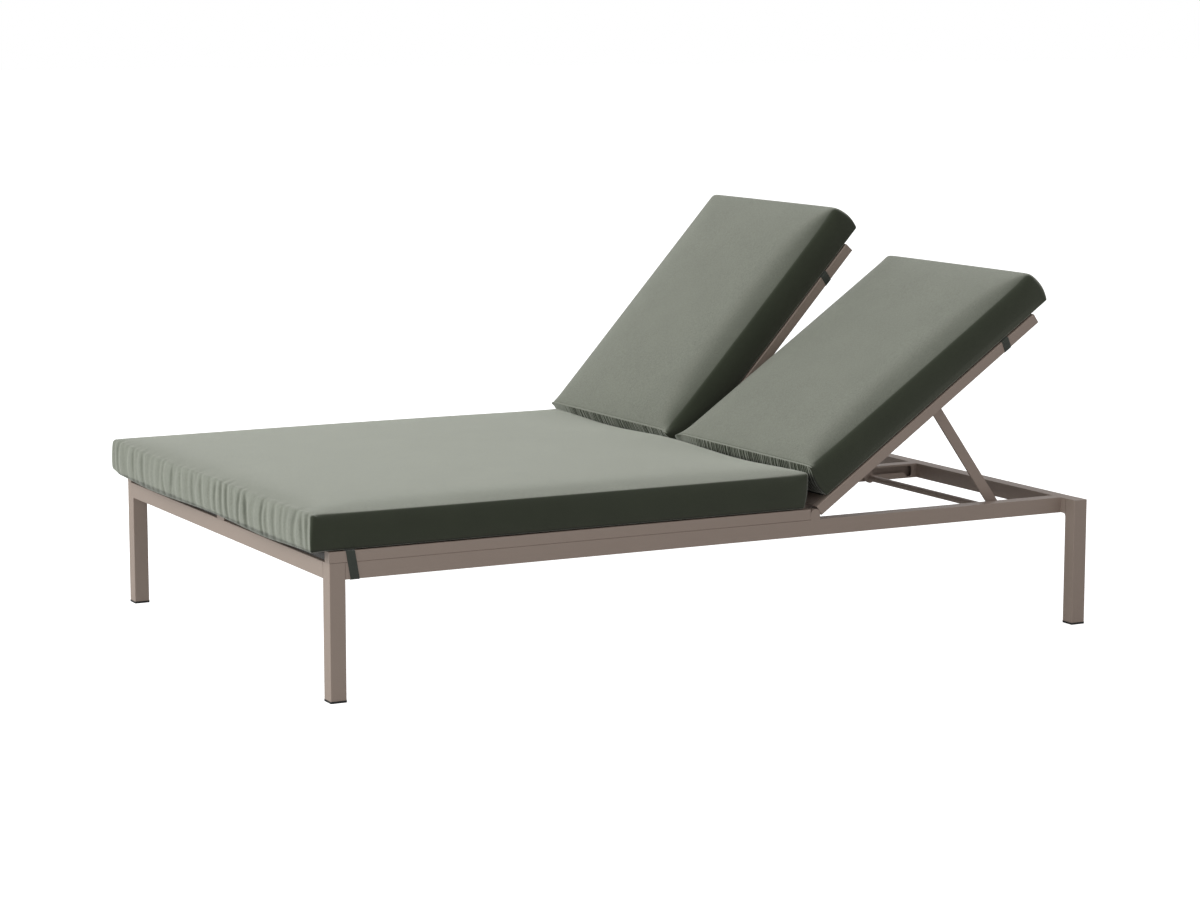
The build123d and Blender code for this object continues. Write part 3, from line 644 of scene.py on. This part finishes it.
# tight gathers across a backrest cushion's lower end, under the raised seam of its top
def gatherEnd(obj, s, outerSmooth):
    bm = bmesh.new()
    bm.from_mesh(obj.data)
    gathers = endGathers
    low, high = s["low"], s["high"]
    height = high.z - low.z
    cutAcross(bm, low.x + gathers["region"], gathers["shortest"], gathers["cuts"])
    furrows = makeFurrows(gathers, low.y, high.y)
    for vert in bm.verts:
        p = vert.co
        inward = p.x - low.x
        if inward < gathers["region"] and p.z > low.z + gathers["above"]:
            rise = min(1.0, max(0.0, (p.z - low.z) / height))
            face = smoothStep(-vert.normal.x, *gathers["facing"])
            face *= smoothStep(rise, *gathers["root"])
            share = (p.y - low.y) / (high.y - low.y)
            sink = furrowDepth(gathers, furrows, p.y, height * rise, height) - gathers["fill"]
            sink *= smoothStep(1 - share if outerSmooth else share, *gathers["smooth"])
            seam = 0.0
            for lift, place, width in (gathers["ridge"], gathers["groove"]):
                seam += lift * math.exp(-((inward - place) / width) ** 2)
            p.x += sink * face
            p.z += seam * smoothStep(vert.normal.z, *gathers["topFacing"])
            p.x -= gathers["bow"] * math.sin(math.pi * rise) * (1 - inward / gathers["region"])
        for y, (size, ear) in zip((low.y, high.y), endEars):
            gap = (p - Vector((low.x, y, high.z))).length
            p += ear * math.exp(-(gap / size) ** 2)
    bm.to_mesh(obj.data)
    bm.free()


# the cover before it swells, with its seams as a vertex group
def startCover(s, name, material):
    bm = cutBlock(s)
    shares = seamShares(bm, s)
    roundEdges(bm, s)
    crownBlock(bm, s)
    cover = makeObject(bm, name, material)
    seams = cover.vertex_groups.new(name="seams")
    for index, share in enumerate(shares):
        seams.add([index], share, "REPLACE")
    return cover


seatCover = startCover(seatCushion, "seat_cushion_cover", finishes["cushion_fabric"])
covers = {"base": (seatCover, seatCushion)}
for side, detail in backDetails.items():
    low = Vector((detail["start"], *backCushion["low"][1:]))
    shape = dict(backCushion, low=low, sideRound=detail["sideRound"])
    cover = startCover(shape, side + "_back_cushion_cover", tiltedFabric[side])
    covers[side + "_backrest"] = (cover, shape)
swellCovers(list(covers.values()))
for body, (cover, shape) in covers.items():
    refineCover(cover)
    if body == "base":
        seatDetails(cover, shape)
        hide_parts("seat_cushion")
    else:
        side = body.split("_")[0]
        gatherEnd(cover, shape, side == "right")
        cover.data.transform(sidePlace(side, "back")[1])
        if sideSign[side] < 0:
            cover.data.flip_normals()
        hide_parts(side + "_back_cushion")
    cover.data.update()
    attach(cover, body)
    if body == "left_backrest":
        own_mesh(cover)
print("cushions made:", len(covers))


# rounds: the shortest edge beside a rounded corner, and the radius; hemBelow: points so far
# under the sling's line are in its hem or sleeve
slingEdge = {
    "inGroove": 0.0036, "thickness": 0.0012, "layer": 0.0014, "hem": 0.022, "free": 0.0008,
    "sleeveRound": (0.009, 0.0049), "hemRound": (0.001, 0.0006), "sharpAngle": 2.0,
    "hemBelow": 0.0003, "sagLoss": 0.35, "sagFrom": (0.005, 0.1),
}
# bar: half the width and the height of the sleeve round it; slits: two corners each
slingShapes = {
    "seat": {"x": (-0.94275, 0.21625), "y": (0.0225, 0.617), "z": 0.3262, "sag": 0.0035,
             "cuts": (56, 29), "bar": (0.0109, 0.0099),
             "slits": [((-0.9208, 0.6026), (-0.8872, 0.6050))]},
    "back": {"x": (0.053, 0.716), "y": (0.033, 0.617), "z": 0.0087, "sag": 0.004,
             "cuts": (34, 29), "bar": None,
             "slits": [((0.629, 0.6146), (0.658, 0.6172)), ((0.629, 0.0328), (0.658, 0.0354))]},
}


# corners of a sling's line from end to end: a hem, or a sleeve round a bar, at its start
def slingLine(s):
    (start, end), z, layer, hem = s["x"], s["z"], slingEdge["layer"], slingEdge["hem"]
    line = [(start + hem, z - layer), (start, z - layer), (start, z)]
    if s["bar"]:
        half, tall = s["bar"]
        line = [(start + half + hem, z - layer), (start + half, z - layer),
                (start + half, z - 2 * tall), (start - half, z - 2 * tall), (start - half, z)]
    return line + [(end, z), (end, z - layer), (end - hem, z - layer)]


# rounds the sharp corners of an open line whose edges are at least so long
def roundCorners(bm, shortest, radius):
    sharp = []
    for vert in bm.verts:
        if len(vert.link_edges) == 2 and min(e.calc_length() for e in vert.link_edges) > shortest:
            first, second = [e.other_vert(vert).co - vert.co for e in vert.link_edges]
            if first.angle(second) < slingEdge["sharpAngle"]:
                sharp.append(vert)
    if sharp:
        bmesh.ops.bevel(bm, geom=sharp, offset=radius, offset_type="OFFSET", segments=3,
                        profile=0.5, affect="VERTICES", material=-1)


# the sling's line seen from the side, its long run cut evenly and its corners rounded
def drawLine(bm, s):
    corners = [bm.verts.new((x, 0, z)) for x, z in slingLine(s)]
    edges = [bm.edges.new(pair) for pair in zip(corners, corners[1:])]
    longest = max(edges, key=lambda edge: edge.calc_length())
    bmesh.ops.subdivide_edges(bm, edges=[longest], cuts=s["cuts"][0])
    roundCorners(bm, *slingEdge["sleeveRound"])
    roundCorners(bm, *slingEdge["hemRound"])


# writes each point's way along the open line from its start, and gives the whole length
def measureRun(bm, run, middle):
    vert, edge = next((v, v.link_edges[0]) for v in bm.verts
                      if len(v.link_edges) == 1 and v.co.x < middle)
    length = 0.0
    while edge:
        length += edge.calc_length()
        vert = edge.other_vert(vert)
        vert[run] = length
        edge = next((e for e in vert.link_edges if e != edge), None)
    return length


# draws the line out across the lounger, in even steps
def widenLine(bm, low, high, steps):
    for vert in bm.verts:
        vert.co.y = low
    front = bm.edges[:]
    for _ in range(steps):
        made = set(bmesh.ops.extrude_edge_only(bm, edges=front)["geom"])
        front = [e for e in bm.edges if e.verts[0] in made and e.verts[1] in made]
        for vert in made:
            if isinstance(vert, bmesh.types.BMVert):
                vert.co.y += (high - low) / steps


def cutSlit(bm, low, high):
    for corner in (low, high):
        for normal in ((1, 0, 0), (0, 1, 0)):
            bmesh.ops.bisect_plane(bm, geom=bm.verts[:] + bm.edges[:] + bm.faces[:], dist=1e-6,
                                   plane_co=(corner[0], corner[1], 0), plane_no=normal)
    inSlit = [f for f in bm.faces
              if all(low[i] < f.calc_center_median()[i] < high[i] for i in (0, 1))]
    bmesh.ops.delete(bm, geom=inSlit, context="FACES")


def thicken(cloth, thickness):
    thick = cloth.modifiers.new("thick", "SOLIDIFY")
    thick.thickness = thickness
    thick.offset = 0.0


# stretched sheet with its edges in the grooves of the tubes, and the slits for the straps
def makeSling(name, s, place):
    bm = bmesh.new()
    drawLine(bm, s)
    run = bm.verts.layers.float.new("run")
    length = measureRun(bm, run, sum(s["x"]) / 2)
    low, high = s["y"][0] - slingEdge["inGroove"], s["y"][1] + slingEdge["inGroove"]
    widenLine(bm, low, high, s["cuts"][1])
    for corners in s["slits"]:
        cutSlit(bm, *corners)
    layer = bm.loops.layers.uv.new("clothMap")
    for face in bm.faces:
        for loop in face.loops:
            loop[layer].uv = (loop.vert[run], loop.vert.co.y)
    for vert in bm.verts:
        p = vert.co
        u = 2 * (p.x - s["x"][0]) / (s["x"][1] - s["x"][0]) - 1
        v = 2 * (p.y - low) / (high - low) - 1
        if p.z < s["z"] - slingEdge["hemBelow"]:
            p.y = min(max(p.y, s["y"][0] + slingEdge["free"]), s["y"][1] - slingEdge["free"])
        ends = 1 - slingEdge["sagLoss"] * u * u
        ends *= smoothStep(p.x, *[s["x"][0] + inward for inward in slingEdge["sagFrom"]])
        p.z -= s["sag"] * (1 - v * v) ** 2 * ends
    bm.transform(place)
    bmesh.ops.recalc_face_normals(bm, faces=bm.faces)
    sheet = makeObject(bm, name, finishes["sling_fabric"])
    thicken(sheet, slingEdge["thickness"])
    return sheet, (high - low, length)


for side in ("left", "right"):
    for kind in ("seat", "back"):
        body, place = sidePlace(side, kind)
        node = side + "_" + kind + "_sling"
        sheet, flat = makeSling(node + "_cloth", slingShapes[kind], place)
        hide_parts(node)
        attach(sheet, body)
        print(node, "cut size:", [round(v, 3) for v in flat])


# outlines: y and z round each tube; top and bottom: z, and where along x the band lies there
strapShapes = {
    "seat": {"outlines": [[(0.605, 0.268), (0.642, 0.268), (0.642, 0.330),
                           (0.617, 0.330), (0.605, 0.305)]],
             "top": (0.330, -0.91975), "bottom": (0.268, -0.90925)},
    "back": {"outlines": [[(0.617, -0.0125), (0.642, -0.0125), (0.642, 0.0125), (0.617, 0.0125)],
                          [(0.008, -0.0125), (0.033, -0.0125), (0.033, 0.0125), (0.008, 0.0125)]],
             "top": (0.0125, 0.636), "bottom": (-0.0125, 0.630)},
}
strapBand = {"width": 0.021, "thickness": 0.0012, "clear": 0.0008, "corner": 0.0032,
             "edge": 0.0003}


# elastic band round each tube, its sides slanting along it
def makeStrap(name, s, place):
    bm = bmesh.new()
    for outline in s["outlines"]:
        middle = sum((Vector(p) for p in outline), Vector((0, 0))) / len(outline)
        corners = []
        for y, z in outline:
            corners.append(bm.verts.new((0, y + math.copysign(strapBand["clear"], y - middle.x),
                                         z + math.copysign(strapBand["clear"], z - middle.y))))
        for i, corner in enumerate(corners):
            bm.edges.new((corner, corners[(i + 1) % len(corners)]))
    bmesh.ops.bevel(bm, geom=bm.verts[:], offset=strapBand["corner"], offset_type="OFFSET",
                    segments=4, profile=0.5, affect="VERTICES", material=-1)
    ring = bmesh.ops.extrude_edge_only(bm, edges=bm.edges[:])
    for item in ring["geom"]:
        if isinstance(item, bmesh.types.BMVert):
            item.co.x = strapBand["width"]
    layer = bm.loops.layers.uv.new("clothMap")
    for face in bm.faces:
        for loop in face.loops:
            p = loop.vert.co
            loop[layer].uv = (p.x, p.y + p.z)
    (topZ, topX), (bottomZ, bottomX) = s["top"], s["bottom"]
    for vert in bm.verts:
        share = (vert.co.z - bottomZ) / (topZ - bottomZ)
        vert.co.x += bottomX + (topX - bottomX) * min(1.0, max(0.0, share))
    bm.transform(place)
    bmesh.ops.recalc_face_normals(bm, faces=bm.faces)
    strap = makeObject(bm, name, finishes["strap_elastic"])
    thicken(strap, strapBand["thickness"])
    edge = strap.modifiers.new("edge", "BEVEL")
    edge.width = strapBand["edge"]
    edge.segments = 2
    return strap


strapCount = 0
for side in ("left", "right"):
    for kind in ("seat", "back"):
        body, place = sidePlace(side, kind)
        node = side + "_" + kind + ("_strap" if kind == "seat" else "_straps")
        strap = makeStrap(node + "_band", strapShapes[kind], place)
        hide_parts(node)
        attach(strap, body)
        strapCount += len(strapShapes[kind]["outlines"])
print("straps made:", strapCount)


stageLook = {"floorSize": 60.0, "floorColour": 0.86, "glow": 0.92, "ambient": 0.44}


# pale floor, made white in the picture by a glow that only the camera sees
def makeFloor():
    bm = bmesh.new()
    bmesh.ops.create_grid(bm, x_segments=1, y_segments=1, size=stageLook["floorSize"])
    grey = stageLook["floorColour"]
    material, tree, shader = newMaterial("paleFloor", Base_Color=(grey, grey, grey, 1),
                                         Roughness=0.9, Specular_IOR_Level=0.0)
    ray = addNode(tree, "LightPath").outputs["Is Camera Ray"]
    glow = mathNode(tree, "MULTIPLY", ray, stageLook["glow"])
    shader.inputs["Emission Color"].default_value = (1, 1, 1, 1)
    tree.links.new(glow, shader.inputs["Emission Strength"])
    floor = makeObject(bm, "studio_floor", material, smooth=False)


# surroundings that look white and light the piece less than they look
def makeWorld():
    world = bpy.data.worlds.new("studioWorld")
    bpy.context.scene.world = world
    world.use_nodes = True
    tree = world.node_tree
    background = tree.nodes["Background"]
    background.inputs["Color"].default_value = (1, 1, 1, 1)
    rays = addNode(tree, "LightPath").outputs
    seen = mathNode(tree, "MAXIMUM", rays["Is Camera Ray"],
                    mathNode(tree, "MAXIMUM", rays["Is Glossy Ray"], rays["Is Transmission Ray"]))
    ambient = stageLook["ambient"]
    strength = mathNode(tree, "MULTIPLY_ADD", seen, 1 - ambient, ambient)
    tree.links.new(strength, background.inputs["Strength"])


lampTarget = Vector((0.0, 0.0, 0.4))
lamps = {
    "footLamp": {"toward": (-0.90, -0.04, 0.40), "distance": 7.0, "size": 4.0, "power": 246.0,
                 "tint": (0.94, 1.0, 0.995)},
    "topLamp": {"toward": (-0.20, 0.55, 0.80), "distance": 6.0, "size": 4.0, "power": 22.0,
                "tint": (1.0, 1.0, 1.0)},
}


def makeLamp(name, s):
    light = bpy.data.lights.new(name, "AREA")
    light.shape = "DISK"
    light.size = s["size"]
    light.energy = s["power"]
    light.color = s["tint"]
    lamp = bpy.data.objects.new(name, light)
    bpy.context.scene.collection.objects.link(lamp)
    way = Vector(s["toward"]).normalized()
    lamp.location = lampTarget + way * s["distance"]
    lamp.rotation_euler = way.to_track_quat("Z", "Y").to_euler()


cameraView = {"place": (-3.4332, -6.5203, 1.4826), "yaw": 61.99, "down": 8.342, "roll": 0.072,
              "lens": 91.10, "sensor": 36.0, "farClip": 200.0}


def makeCamera():
    camera = bpy.data.objects.new("camera", bpy.data.cameras.new("camera"))
    bpy.context.scene.collection.objects.link(camera)
    bpy.context.scene.camera = camera
    camera.data.lens = cameraView["lens"]
    camera.data.sensor_width = cameraView["sensor"]
    camera.data.clip_end = cameraView["farClip"]
    yaw, down, roll = (math.radians(cameraView[key]) for key in ("yaw", "down", "roll"))
    level = math.cos(down)
    ahead = Vector((math.cos(yaw) * level, math.sin(yaw) * level, -math.sin(down)))
    right = Vector((math.sin(yaw), -math.cos(yaw), 0))
    up = right.cross(ahead)
    rolledRight = right * math.cos(roll) + up * math.sin(roll)
    rolledUp = up * math.cos(roll) - right * math.sin(roll)
    turn = Matrix((rolledRight, rolledUp, -ahead)).transposed().to_4x4()
    camera.matrix_world = Matrix.Translation(cameraView["place"]) @ turn


makeFloor()
makeWorld()
for name, s in lamps.items():
    makeLamp(name, s)
makeCamera()
bpy.context.scene.view_settings.view_transform = "Standard"
print("stage, lamps and camera made")

bpy.context.view_layer.update()
